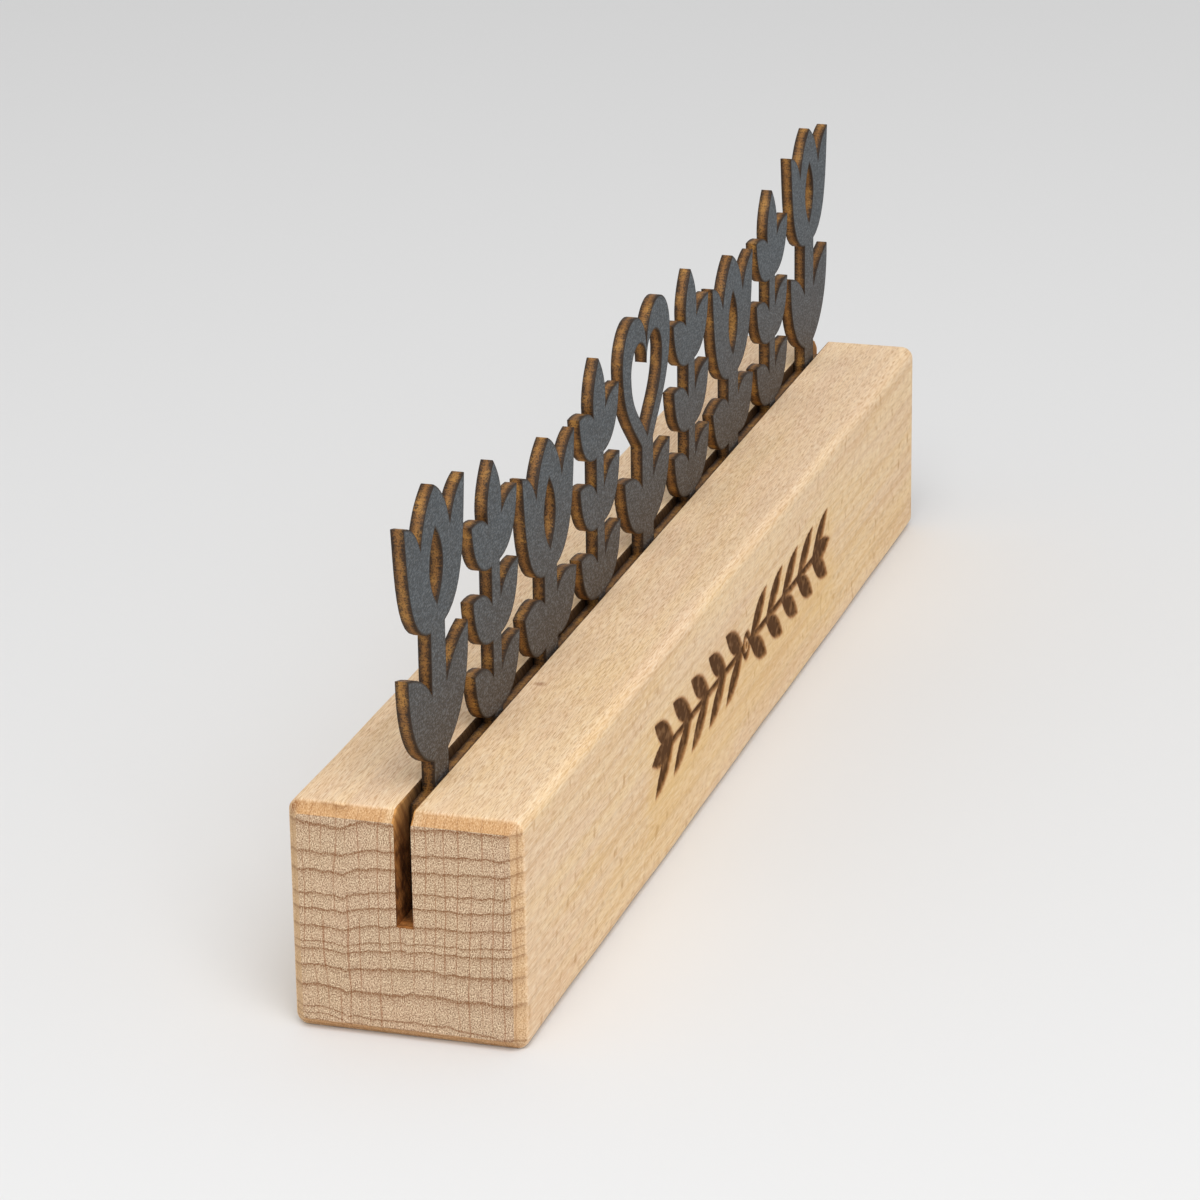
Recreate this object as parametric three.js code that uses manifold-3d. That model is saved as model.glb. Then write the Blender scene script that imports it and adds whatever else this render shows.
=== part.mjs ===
// Table sign: a square beech block with a saw slot along its top, and a laser-cut fibreboard panel whose tab
// plugs into that slot. Millimetres. +Z is up and +X runs along the block, left to right for a person who
// reads the sign, which faces -Y. The origin lies on the table, under the middle of the block.

import * as THREE from "three";
import { ConvexGeometry } from "three/addons/geometries/ConvexGeometry.js";
import { mergeVertices } from "three/addons/utils/BufferGeometryUtils.js";
import Module from "manifold-3d";

// Block
const BLOCK_LENGTH = 300;
const BLOCK_WIDTH = 44;
const BLOCK_HEIGHT = 44;
const LONG_EDGE_RADIUS = 2.4; // the four long edges, eased by sanding
const END_CHAMFER = 2.1; // all round both ends

// Slot, and how the panel fits it
const SLOT_DEPTH = 22;
const PANEL_THICKNESS = 2.5;
const SIDE_CLEARANCE = 0.35; // on each side of the panel
const FLOOR_CLEARANCE = 0.3; // under the tab
const TAB_DROP = 1.5; // from the top of the block down to the tab's top edge
const TAB_INSET = 8; // from each end of the block to the tab
const PANEL_INSET = 2; // from each end of the block to the border of flowers

// Border of flowers that the panel is cut to: heights above the block
const TALL_TULIP = 55; // at both ends
const LOW_TULIP = 43; // between the sprigs
const SPRIG_HEIGHT = 49;
const HEART_TOP = 50;
const STEM_WIDTH = 8; // of the tulips and the heart
const LEAF_LIFT = 3; // from the block up to where the leaves at a stem's foot spring
const MOTIF_GAP = 2; // least gap between neighbours

// Tulips
const CUP_WIDTH = 33;
const CUP_DEPTH = 27; // from the point of the middle petal down to the stem
const CUP_BELLY = 15; // how far the handles of the sides' curves stand out from the middle
const OUTER_DROP = 3; // from the point of the middle petal down to those of the outer petals
const NOTCH_DROP = 9.5; // and down to the notches between the petals
const NOTCH_SPREAD = 16; // from notch to notch
const PETAL_BOW = 1.4; // how far the petals' upper sides bow out
const EYE_LENGTH = 14; // of the opening in the middle petal
const EYE_WIDTH = 7;
const EYE_FLOOR = 5; // board left under it
const BLADE_WIDTH = 11; // of the two leaves at the foot
const BLADE_CLEARANCE = 4; // from their tips up to the foot of the cup

// Sprigs
const TWIG_WIDTH = 5;
const SPRIG_LEAF_LENGTH = 17.5;
const SPRIG_LEAF_WIDTH = 8.6;
const SPRIG_LEAF_ANGLE = THREE.MathUtils.degToRad(50); // from upright
const SPRIG_LEAF_GAP = 2.4; // between neighbouring leaves

// Heart on its stem, in the middle
const HEART_WIDTH = 34;
const HEART_RIM = 6.2; // board left around the heart-shaped opening
const HEART_DEPTH = 33; // from the tops of the lobes down to the point
const HEART_SWEEP = 0.5; // length of the handles of its sides' curves, as a share of the sides' height
const HEART_POINT = 0.7; // how far they open at the point: 0 would be a needle, 1 nearly round
const HEART_LEAF_LENGTH = 22;
const HEART_LEAF_WIDTH = 10;
const HEART_LEAF_ANGLE = THREE.MathUtils.degToRad(48); // from upright

// Facets
const EDGE_STEPS = 3; // for each rounded edge of the block
const CURVE_STEPS = 12; // for each curve of the panel
const CUT_MARGIN = 5; // how far a cutting tool reaches past what it cuts
const MERGE_DISTANCE = 1e-4; // vertices closer than this are one

const SLOT_WIDTH = PANEL_THICKNESS + 2 * SIDE_CLEARANCE;
const PANEL_LENGTH = BLOCK_LENGTH - 2 * PANEL_INSET;
const TAB_LENGTH = BLOCK_LENGTH - 2 * TAB_INSET;
const TAB_HEIGHT = SLOT_DEPTH - TAB_DROP - FLOOR_CLEARANCE;
const FOOT = -TAB_DROP; // every motif stands on the tab's top edge
const ROOT = FOOT - TAB_HEIGHT / 3; // and its stem runs this deep into the tab

const wasm = await Module();
wasm.setup();

// A closed three.js geometry as a solid that can be joined and cut.
function solid(geometry) {
  const bare = geometry.clone();
  bare.deleteAttribute("normal");
  bare.deleteAttribute("uv");
  const merged = mergeVertices(bare, MERGE_DISTANCE);
  const mesh = new wasm.Mesh({
    numProp: 3,
    vertProperties: new Float32Array(merged.attributes.position.array),
    triVerts: new Uint32Array(merged.index.array),
  });
  return new wasm.Manifold(mesh);
}

// The solid's surface as a three.js geometry with flat faces.
function geometryOf(body) {
  const mesh = body.getMesh();
  const geometry = new THREE.BufferGeometry();
  geometry.setAttribute("position", new THREE.BufferAttribute(mesh.vertProperties, 3));
  geometry.setIndex(new THREE.BufferAttribute(mesh.triVerts, 1));
  const faceted = geometry.toNonIndexed();
  faceted.computeVertexNormals();
  return faceted;
}

// A prism: the outline pushed along its normal, half to each side.
function prism(shape, depth, curveSegments) {
  const options = { depth, curveSegments, bevelEnabled: false };
  return new THREE.ExtrudeGeometry(shape, options).translate(0, 0, -depth / 2);
}

// A rectangle between two corners.
function rectangle(left, bottom, right, top) {
  const corners = [[left, bottom], [right, bottom], [right, top], [left, top]];
  return new THREE.Shape(corners.map(([x, y]) => new THREE.Vector2(x, y)));
}

// The block's cross-section, with round corners, standing on y = 0.
function blockSection() {
  const right = BLOCK_WIDTH / 2 - LONG_EDGE_RADIUS;
  const top = BLOCK_HEIGHT - LONG_EDGE_RADIUS;
  const shape = new THREE.Shape();
  shape.absarc(right, LONG_EDGE_RADIUS, LONG_EDGE_RADIUS, -Math.PI / 2, 0, false);
  shape.absarc(right, top, LONG_EDGE_RADIUS, 0, Math.PI / 2, false);
  shape.absarc(-right, top, LONG_EDGE_RADIUS, Math.PI / 2, Math.PI, false);
  shape.absarc(-right, LONG_EDGE_RADIUS, LONG_EDGE_RADIUS, Math.PI, Math.PI * 1.5, false);
  return shape;
}

// Beech block: the hull of its cross-section and of the two smaller end faces, which leaves a chamfer round
// each end, with the slot sawn from end to end. Built along its own z, with x across and y up.
function beechBlock() {
  const halfFace = BLOCK_WIDTH / 2 - END_CHAMFER;
  const endFace = rectangle(-halfFace, END_CHAMFER, halfFace, BLOCK_HEIGHT - END_CHAMFER).getPoints();
  const section = blockSection().getPoints(EDGE_STEPS);
  const halfLength = BLOCK_LENGTH / 2;
  const points = [];
  for (const side of [-1, 1]) {
    for (const { x, y } of endFace) points.push(new THREE.Vector3(x, y, side * halfLength));
    for (const { x, y } of section) points.push(new THREE.Vector3(x, y, side * (halfLength - END_CHAMFER)));
  }
  const slot = new THREE.BoxGeometry(SLOT_WIDTH, SLOT_DEPTH + CUT_MARGIN, BLOCK_LENGTH + 2 * CUT_MARGIN);
  slot.translate(0, BLOCK_HEIGHT - SLOT_DEPTH / 2 + CUT_MARGIN / 2, 0);
  return geometryOf(solid(new ConvexGeometry(points)).subtract(solid(slot)));
}

// The point that lies at a distance from another, at an angle from upright.
function pointFrom(start, angle, distance) {
  return new THREE.Vector2(Math.sin(angle), Math.cos(angle)).multiplyScalar(distance).add(start);
}

// A curve on a path from one point to the next that bows out to the right by the given amount.
function bow(path, from, to, amount) {
  const out = new THREE.Vector2(to.y - from.y, from.x - to.x).setLength(2 * amount);
  const handle = from.clone().lerp(to, 0.5).add(out);
  path.quadraticCurveTo(handle.x, handle.y, to.x, to.y);
}

// A leaf drawn on a shape or a hole: two bowed sides between its foot and its tip.
function leaf(path, foot, tip, width) {
  path.moveTo(foot.x, foot.y);
  bow(path, foot, tip, width / 2);
  bow(path, tip, foot, width / 2);
  return path;
}

// The cup of a tulip: full sides, three pointed petals and an opening in the middle one.
function tulipCup(x, height) {
  const base = height - CUP_DEPTH;
  const shoulder = height - OUTER_DROP;
  const waist = (base + shoulder) / 2;
  const [leftTip, leftNotch, middleTip, rightNotch, rightTip] = [
    [-CUP_WIDTH / 2, OUTER_DROP],
    [-NOTCH_SPREAD / 2, NOTCH_DROP],
    [0, 0],
    [NOTCH_SPREAD / 2, NOTCH_DROP],
    [CUP_WIDTH / 2, OUTER_DROP],
  ].map(([across, drop]) => new THREE.Vector2(x + across, height - drop));
  const shape = new THREE.Shape();
  shape.moveTo(x, base);
  shape.bezierCurveTo(x + CUP_BELLY, base, x + CUP_BELLY, waist, rightTip.x, rightTip.y);
  bow(shape, rightTip, rightNotch, PETAL_BOW);
  bow(shape, rightNotch, middleTip, PETAL_BOW);
  bow(shape, middleTip, leftNotch, PETAL_BOW);
  bow(shape, leftNotch, leftTip, PETAL_BOW);
  shape.bezierCurveTo(x - CUP_BELLY, waist, x - CUP_BELLY, base, x, base);
  const eyeFoot = new THREE.Vector2(x, base + EYE_FLOOR);
  shape.holes.push(leaf(new THREE.Path(), eyeFoot, pointFrom(eyeFoot, 0, EYE_LENGTH), EYE_WIDTH));
  return shape;
}

// A tulip: its cup on a stem, and two leaves that reach from its foot out below the outer petals.
function tulip(x, height) {
  const base = height - CUP_DEPTH;
  const stem = rectangle(x - STEM_WIDTH / 2, ROOT, x + STEM_WIDTH / 2, base + EYE_FLOOR / 2);
  const root = new THREE.Vector2(x, LEAF_LIFT);
  const blades = [-1, 1].map((side) => {
    const tip = new THREE.Vector2(x + (side * CUP_WIDTH) / 2, base - BLADE_CLEARANCE);
    return leaf(new THREE.Shape(), root, tip, BLADE_WIDTH);
  });
  return [stem, tulipCup(x, height), ...blades];
}

// A sprig: a twig with a leaf at its tip, and below that as many pairs of leaves as fit.
function sprig(x) {
  const fork = new THREE.Vector2(x, SPRIG_HEIGHT - SPRIG_LEAF_LENGTH);
  const tip = pointFrom(fork, 0, SPRIG_LEAF_LENGTH);
  const twig = rectangle(x - TWIG_WIDTH / 2, ROOT, x + TWIG_WIDTH / 2, fork.y + SPRIG_LEAF_GAP);
  const pitch = (SPRIG_LEAF_WIDTH + SPRIG_LEAF_GAP) / Math.sin(SPRIG_LEAF_ANGLE);
  const shapes = [twig, leaf(new THREE.Shape(), fork, tip, SPRIG_LEAF_WIDTH)];
  for (let y = fork.y - SPRIG_LEAF_GAP; y > 0; y -= pitch) {
    const root = new THREE.Vector2(x, y);
    for (const angle of [-SPRIG_LEAF_ANGLE, SPRIG_LEAF_ANGLE]) {
      const end = pointFrom(root, angle, SPRIG_LEAF_LENGTH);
      shapes.push(leaf(new THREE.Shape(), root, end, SPRIG_LEAF_WIDTH));
    }
  }
  return shapes;
}

// A heart drawn on a shape or a hole: two round lobes, and sides that sweep down to a point.
function heart(path, x, top, width, depth) {
  const lobe = width / 4;
  const level = top - lobe;
  const point = top - depth;
  const sweep = (level - point) * HEART_SWEEP;
  const low = point + sweep * HEART_POINT;
  const open = lobe * HEART_POINT;
  path.moveTo(x, point);
  path.bezierCurveTo(x + open, low, x + 2 * lobe, level - sweep, x + 2 * lobe, level);
  path.absarc(x + lobe, level, lobe, 0, Math.PI, false);
  path.absarc(x - lobe, level, lobe, 0, Math.PI, false);
  path.bezierCurveTo(x - 2 * lobe, level - sweep, x - open, low, x, point);
  return path;
}

// The middle of the panel: a pierced heart on a stem.
function heartOnStem() {
  const rim = heart(new THREE.Shape(), 0, HEART_TOP, HEART_WIDTH, HEART_DEPTH);
  const opening = HEART_WIDTH - 2 * HEART_RIM;
  const openingDepth = HEART_DEPTH * (opening / HEART_WIDTH);
  rim.holes.push(heart(new THREE.Path(), 0, HEART_TOP - HEART_RIM, opening, openingDepth));
  const stem = rectangle(-STEM_WIDTH / 2, ROOT, STEM_WIDTH / 2, HEART_TOP - HEART_DEPTH + HEART_RIM);
  return [stem, rim];
}

// The left half of the border, from its end to the heart: a tall tulip, then sprigs and low tulips in turn,
// as many as fit, and the heart's left leaf.
function leftHalf() {
  const endX = (PANEL_LENGTH - CUP_WIDTH) / 2;
  const sprigReach = SPRIG_LEAF_LENGTH * Math.sin(SPRIG_LEAF_ANGLE);
  const widest = Math.max(CUP_WIDTH, HEART_WIDTH) / 2;
  const count = Math.max(1, Math.floor(endX / (widest + sprigReach + MOTIF_GAP)));
  const shapes = tulip(-endX, TALL_TULIP);
  for (let i = 1; i < count; i++) {
    const x = -endX * (1 - i / count);
    shapes.push(...(i % 2 ? sprig(x) : tulip(x, LOW_TULIP)));
  }
  const root = new THREE.Vector2(0, LEAF_LIFT);
  const tip = pointFrom(root, -HEART_LEAF_ANGLE, HEART_LEAF_LENGTH);
  return [...shapes, leaf(new THREE.Shape(), root, tip, HEART_LEAF_WIDTH)];
}

// Cut-out panel: the tab and all motifs joined, drawn in its own x and y with y = 0 at the top of the block.
// Each shape is pushed further through than the one before, so that no two end in one plane, and the board's
// two faces then trim them all.
function cutoutPanel() {
  const tab = rectangle(-TAB_LENGTH / 2, FOOT - TAB_HEIGHT, TAB_LENGTH / 2, FOOT);
  const middle = [tab, ...heartOnStem()];
  const bodies = [...middle, ...leftHalf()].map((shape, i) => {
    return solid(prism(shape, PANEL_THICKNESS + CUT_MARGIN + i, CURVE_STEPS));
  });
  const mirrored = bodies.slice(middle.length).map((body) => body.mirror([1, 0, 0]));
  const joined = [...bodies, ...mirrored].reduce((whole, body) => whole.add(body));
  const board = new THREE.BoxGeometry(2 * BLOCK_LENGTH, 4 * BLOCK_LENGTH, PANEL_THICKNESS);
  return geometryOf(joined.intersect(solid(board)));
}

const beech = new THREE.MeshStandardMaterial({ color: 0xdcb98f, roughness: 0.6, metalness: 0 });
const greyFibreboard = new THREE.MeshStandardMaterial({ color: 0x64686b, roughness: 0.65, metalness: 0 });

const sign = new THREE.Group();

const block = new THREE.Mesh(beechBlock(), beech);
block.name = "beech_block";
block.rotation.set(Math.PI / 2, Math.PI / 2, 0); // its own z becomes +X, x becomes +Y, y becomes +Z
sign.add(block);

const panel = new THREE.Mesh(cutoutPanel(), greyFibreboard);
panel.name = "cutout_panel";
panel.position.z = BLOCK_HEIGHT;
panel.rotation.x = Math.PI / 2; // its own y becomes +Z
sign.add(panel);

export default sign;
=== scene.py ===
"""Table sign, dressed: a sanded beech block with a burnt garland on its front, and the grey lacquered cut-out
panel that stands in its slot.

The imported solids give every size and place. The block is a profile carried along X with the garland pressed
into its front. The panel is a softened rim carried along the outline of its solid, closed by its two faces.
"""

import bpy
import numpy as np
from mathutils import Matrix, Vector


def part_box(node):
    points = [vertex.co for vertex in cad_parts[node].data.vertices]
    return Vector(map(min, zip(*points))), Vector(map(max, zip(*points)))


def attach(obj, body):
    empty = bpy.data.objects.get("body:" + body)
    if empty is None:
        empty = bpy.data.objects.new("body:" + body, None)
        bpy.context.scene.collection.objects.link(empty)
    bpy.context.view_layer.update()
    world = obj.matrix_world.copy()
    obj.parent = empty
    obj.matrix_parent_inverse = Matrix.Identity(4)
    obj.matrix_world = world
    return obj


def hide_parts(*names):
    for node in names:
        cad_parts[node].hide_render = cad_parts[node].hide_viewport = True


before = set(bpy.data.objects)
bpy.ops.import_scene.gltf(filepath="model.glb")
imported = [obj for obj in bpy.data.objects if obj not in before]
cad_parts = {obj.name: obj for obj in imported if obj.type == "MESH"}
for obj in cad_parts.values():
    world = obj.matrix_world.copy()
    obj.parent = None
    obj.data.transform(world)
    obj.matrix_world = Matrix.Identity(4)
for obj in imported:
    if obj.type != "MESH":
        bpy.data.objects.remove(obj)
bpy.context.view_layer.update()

bl_info = {
    "name": "Table sign",
    "version": (1, 0, 0),
    "blender": (4, 5, 0),
    "location": "3D View > Sidebar > Table sign",
    "description": "Makes a beech table sign with a plug-in cut-out panel",
    "category": "Add Mesh",
}

MM = 0.001
PER_METRE = 1000.0  # millimetres in a metre, for patterns that are sized in millimetres
BLOCK_LOW, BLOCK_HIGH = (np.array(corner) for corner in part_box("beech_block"))
PANEL_LOW, PANEL_HIGH = (np.array(corner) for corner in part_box("cutout_panel"))
BLOCK_SIZE = BLOCK_HIGH - BLOCK_LOW
PANEL_THICKNESS = PANEL_HIGH[1] - PANEL_LOW[1]
SHARP_ANGLE = np.radians(38)  # edges that turn more than this stay crisp
SRGB_FOOT, SRGB_SLOPE = 0.04045, 12.92  # up to this value the sRGB curve is straight, with this slope
SRGB_OFFSET, SRGB_POWER = 0.055, 2.4  # of its curved part


def linear(hex_colour):
    """An sRGB hex colour as linear red, green and blue: a straight line up to the foot, and a power above."""
    channels = np.array([int(hex_colour[i:i + 2], 16) for i in (1, 3, 5)]) / 255
    curved = ((channels + SRGB_OFFSET) / (1 + SRGB_OFFSET)) ** SRGB_POWER
    return tuple(float(c) for c in np.where(channels <= SRGB_FOOT, channels / SRGB_SLOPE, curved))


def rgba(colour):
    """A hex colour, or the colour of a setting, as the four numbers that a socket takes."""
    return (*(linear(colour) if isinstance(colour, str) else colour), 1.0)


class BlockSettings(bpy.types.PropertyGroup):
    """Sizes and colours of the beech block."""

    edge_radius: bpy.props.FloatProperty(
        name="Edge radius", description="Rounding of the long edges",
        default=2.4 * MM, min=0.2 * MM, subtype="DISTANCE", unit="LENGTH")
    end_chamfer: bpy.props.FloatProperty(
        name="End chamfer", description="Flat chamfer all round both ends",
        default=2.1 * MM, min=0.2 * MM, subtype="DISTANCE", unit="LENGTH")
    face_colour: bpy.props.FloatVectorProperty(
        name="Face", description="Sanded faces along the grain",
        default=linear("#f4d5ad"), subtype="COLOR", min=0, max=1)
    end_colour: bpy.props.FloatVectorProperty(
        name="End grain", description="Ends, cut across the grain",
        default=linear("#c2a588"), subtype="COLOR", min=0, max=1)
    ring_colour: bpy.props.FloatVectorProperty(
        name="Growth ring", description="Late wood of each year's ring",
        default=linear("#80532e"), subtype="COLOR", min=0, max=1)
    slot_colour: bpy.props.FloatVectorProperty(
        name="Slot", description="Sawn walls of the slot",
        default=linear("#d29a5a"), subtype="COLOR", min=0, max=1)


class GarlandSettings(bpy.types.PropertyGroup):
    """The garland that is burnt into the block's front."""

    length: bpy.props.FloatProperty(
        name="Length", description="From tip to tip along the block",
        default=137.5 * MM, subtype="DISTANCE", unit="LENGTH")
    height: bpy.props.FloatProperty(
        name="Height", description="From the lowest to the highest leaf tip",
        default=14.7 * MM, subtype="DISTANCE", unit="LENGTH")
    level: bpy.props.FloatProperty(
        name="Level", description="Height of its middle above the table",
        default=23.4 * MM, subtype="DISTANCE", unit="LENGTH")
    stroke: bpy.props.FloatProperty(
        name="Stroke", description="Width of a leaf at its middle",
        default=4.4 * MM, subtype="DISTANCE", unit="LENGTH")
    depth: bpy.props.FloatProperty(
        name="Depth", description="How deep the strokes are burnt in",
        default=0.4 * MM, subtype="DISTANCE", unit="LENGTH")
    burn_colour: bpy.props.FloatVectorProperty(
        name="Burn", description="Charred bottom of a stroke",
        default=linear("#4b2b09"), subtype="COLOR", min=0, max=1)
    halo_colour: bpy.props.FloatVectorProperty(
        name="Halo", description="Toasted wood beside a stroke",
        default=linear("#a8692f"), subtype="COLOR", min=0, max=1)


class PanelSettings(bpy.types.PropertyGroup):
    """Edges and colours of the cut-out panel."""

    arris: bpy.props.FloatProperty(
        name="Arris", description="Rounding where a face meets the cut edge",
        default=0.18 * MM, subtype="DISTANCE", unit="LENGTH")
    scorch: bpy.props.FloatProperty(
        name="Scorch", description="Width of the browned border on a face",
        default=0.6 * MM, subtype="DISTANCE", unit="LENGTH")
    lacquer_colour: bpy.props.FloatVectorProperty(
        name="Lacquer", description="Matt grey lacquer of the faces",
        default=linear("#464d52"), subtype="COLOR", min=0, max=1)
    edge_colour: bpy.props.FloatVectorProperty(
        name="Edge", description="Middle of the laser-cut edge",
        default=linear("#8a5e2c"), subtype="COLOR", min=0, max=1)
    char_colour: bpy.props.FloatVectorProperty(
        name="Char", description="Charred borders of the laser-cut edge",
        default=linear("#21150b"), subtype="COLOR", min=0, max=1)


class StageSettings(bpy.types.PropertyGroup):
    """Floor and camera."""

    floor_colour: bpy.props.FloatVectorProperty(
        name="Floor", description="Plain pale floor",
        default=linear("#e2e2e2"), subtype="COLOR", min=0, max=1)
    camera_place: bpy.props.FloatVectorProperty(
        name="Camera", description="Where the camera stands",
        default=(-0.84388, -0.25206, 0.35046), subtype="XYZ", unit="LENGTH")
    camera_turn: bpy.props.FloatVectorProperty(
        name="Turn", description="How the camera is turned",
        default=tuple(np.radians((70.0823, 0.8042, -73.0766))), subtype="EULER", unit="ROTATION")
    lens: bpy.props.FloatProperty(
        name="Lens", description="Focal length on a frame 36 mm wide",
        default=136.386, subtype="DISTANCE_CAMERA")


def put(tree, kind, inputs=None, stops=(), **settings):
    """Adds a node. settings are its properties, and stops are the (place, height) points of a grey ramp.
    inputs gives each socket, by name or number, a value, an output, or a node for its first output."""
    node = tree.nodes.new(kind)
    for name, value in settings.items():
        setattr(node, name, value)
    for _ in stops[2:]:
        node.color_ramp.elements.new(1.0)
    for i, (place, height) in enumerate(stops):
        node.color_ramp.elements[i].position = place
        node.color_ramp.elements[i].color = (height, height, height, 1.0)
    for socket, value in (inputs or {}).items():
        source = value.outputs[0] if isinstance(value, bpy.types.Node) else value
        if isinstance(source, bpy.types.NodeSocket):
            tree.links.new(source, node.inputs[socket])
        else:
            node.inputs[socket].default_value = source
    return node


def new_material(name):
    """An empty material with its node tree."""
    material = bpy.data.materials.new(name)
    material.use_nodes = True
    material.node_tree.nodes.clear()
    return material, material.node_tree


def finish_material(tree, sockets):
    """The shader and the output of a material."""
    shader = put(tree, "ShaderNodeBsdfPrincipled", sockets)
    put(tree, "ShaderNodeOutputMaterial", {"Surface": shader})


MIX_BELOW, MIX_ABOVE, MIX_RESULT = 6, 7, 2  # a Mix node's numbers for two colours and for their mixture


def tinted(tree, base, layers):
    """A colour with layers laid over it, each a (mask, strength, colour)."""
    for mask, strength, colour in layers:
        amount = put(tree, "ShaderNodeMath", {0: mask, 1: strength}, operation="MULTIPLY")
        colours = {0: amount, MIX_BELOW: base, MIX_ABOVE: rgba(colour)}
        base = put(tree, "ShaderNodeMix", colours, data_type="RGBA").outputs[MIX_RESULT]
    return base


def millimetres(tree):
    """Object coordinates in millimetres, together and one by one."""
    place = put(tree, "ShaderNodeTexCoord").outputs["Object"]
    mm = put(tree, "ShaderNodeVectorMath", {0: place, "Scale": PER_METRE}, operation="SCALE")
    return mm, put(tree, "ShaderNodeSeparateXYZ", {0: mm}).outputs


# Heights of the dark ring lines on the end, as shares of the block's height from the table up
RING_LINES = (0.035, 0.07, 0.19, 0.293, 0.375, 0.41, 0.486, 0.566, 0.632, 0.732, 0.807, 0.925)
RING_TILT = 0.085  # rise of a ring for each unit across the block, at the height where it is most
RING_TILT_AT = 27.0  # mm, that height
RING_TILT_LOSS = 0.00026  # by which the rise is less for each squared mm above or below
RING_DRIFT = 0.004  # rise of a ring for each unit along the block
RING_DIP = 0.9  # mm, by which all rings dip together in a cusp
RING_DIP_AT = 11.5  # mm across the block
RING_DIP_WIDTH = 1.6  # mm
RING_WAVE = 2.6  # mm, full height of the slow waves
RING_SCALLOP = 1.2  # mm, full height of the small dips
RING_CRUMB = 0.4  # share of a ring line on the ends that pores break up
# Dark across a ring, from just above its line up to the next: sharp above a line and feathered below one
RING_SHADE = ((0.0, 1.0), (0.05, 0.1), (0.5, 0.0), (0.75, 0.2), (0.88, 0.45), (0.95, 1.0))
RAY_SPACING = 2.1  # mm between the rays that show on the ends
RAY_WANDER = 3.4  # mm, full width of their wandering
RAY_WIDTH = 0.2  # mm from the middle of a ray to where it has faded
# Size in mm, along X, Y and Z, of one cell of each pattern in the wood
GRAIN = {
    "wave": (160.0, 11.0, 40.0),  # slow waves of the rings
    "scallop": (40.0, 2.2, 9.0),  # small dips of the rings between rays
    "drift": (9.0, 5.0, 26.0),  # wandering of the rays
    "sheet": (9.0, 2.0, 14.0),  # which of those rays are strong
    "ray": (2.0, 0.19, 1.6),  # short rays, seen as dashes on top and faintly on the front
    "pore": (3.4, 0.2, 0.28),  # vessels along the grain, drawn coarser than real ones so that they show
    "streak": (70.0, 1.6, 1.6),  # lighter and darker fibres
    "fleck": (2.4, 2.4, 3.6),  # upright ray flecks that stand alone on the front
    "blush": (60.0, 7.0, 7.0),  # pinker places
    "tone": (110.0, 26.0, 26.0),  # yellower places
    "ember": (2.4, 2.4, 2.4),  # uneven heat of the burning
}
# Masks read from those patterns: the pattern, and its values where the mask is 0 and where it is 1
MASKS = {
    "dash": ("ray", 0.52, 0.66),
    "vessel": ("pore", 0.52, 0.66),
    "fibre": ("pore", 0.48, 0.36),
    "crumb": ("pore", 0.36, 0.56),
    "strong": ("sheet", 0.36, 0.58),
    "streak": ("streak", 0.35, 0.65),
    "line": ("streak", 0.48, 0.36),
    "fleck": ("fleck", 0.62, 0.76),
    "blush": ("blush", 0.4, 0.62),
    "tone": ("tone", 0.35, 0.65),
    "heat": ("ember", 0.25, 0.75),
}
BENDING = ("wave", "scallop", "drift")  # the patterns that bend rings and rays


def ring_mask(tree, place, wave, scallop):
    """Lines of the growth rings, which lie level one above the other. The height in mm is bent by a tilt that
    lessens with the square of the distance from one height, by a dip that fades exponentially to both sides,
    and by waves and scallops. Its share of the way from one ring line to the next gives the shade."""
    x, y, z = place
    away = put(tree, "ShaderNodeMath", {0: y, 1: RING_DIP_AT}, operation="SUBTRACT")
    aside = put(tree, "ShaderNodeMath", {0: away}, operation="ABSOLUTE")
    fall = put(tree, "ShaderNodeMath", {0: aside, 1: -RING_DIP_WIDTH}, operation="DIVIDE")
    dip = put(tree, "ShaderNodeMath", {0: fall}, operation="EXPONENT")
    above = put(tree, "ShaderNodeMath", {0: z, 1: RING_TILT_AT}, operation="SUBTRACT")
    squared = put(tree, "ShaderNodeMath", {0: above, 1: above}, operation="MULTIPLY")
    tilting = {0: squared, 1: -RING_TILT_LOSS, 2: RING_TILT}
    tilt = put(tree, "ShaderNodeMath", tilting, operation="MULTIPLY_ADD")
    middle = (RING_WAVE + RING_SCALLOP) / 2
    height = put(tree, "ShaderNodeMath", {0: z, 1: middle}, operation="SUBTRACT")
    for bend, amount in ((y, tilt), (x, RING_DRIFT), (dip, RING_DIP),
                         (wave, RING_WAVE), (scallop, RING_SCALLOP)):
        height = put(tree, "ShaderNodeMath", {0: bend, 1: amount, 2: height}, operation="MULTIPLY_ADD")
    level = put(tree, "ShaderNodeMath", {0: height, 1: BLOCK_SIZE[2] * PER_METRE}, operation="DIVIDE")
    year = put(tree, "ShaderNodeFloatCurve", {"Value": level})
    curve = year.mapping.curves[0]
    for i, line in enumerate(RING_LINES):
        curve.points.new(line, (i + 1) / (len(RING_LINES) + 1))
    for point in curve.points:
        point.handle_type = "VECTOR"
    year.mapping.update()
    years = put(tree, "ShaderNodeMath", {0: year, 1: len(RING_LINES) + 1.0}, operation="MULTIPLY")
    share = put(tree, "ShaderNodeMath", {0: years}, operation="FRACT")
    return put(tree, "ShaderNodeValToRGB", {0: share}, RING_SHADE)


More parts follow.
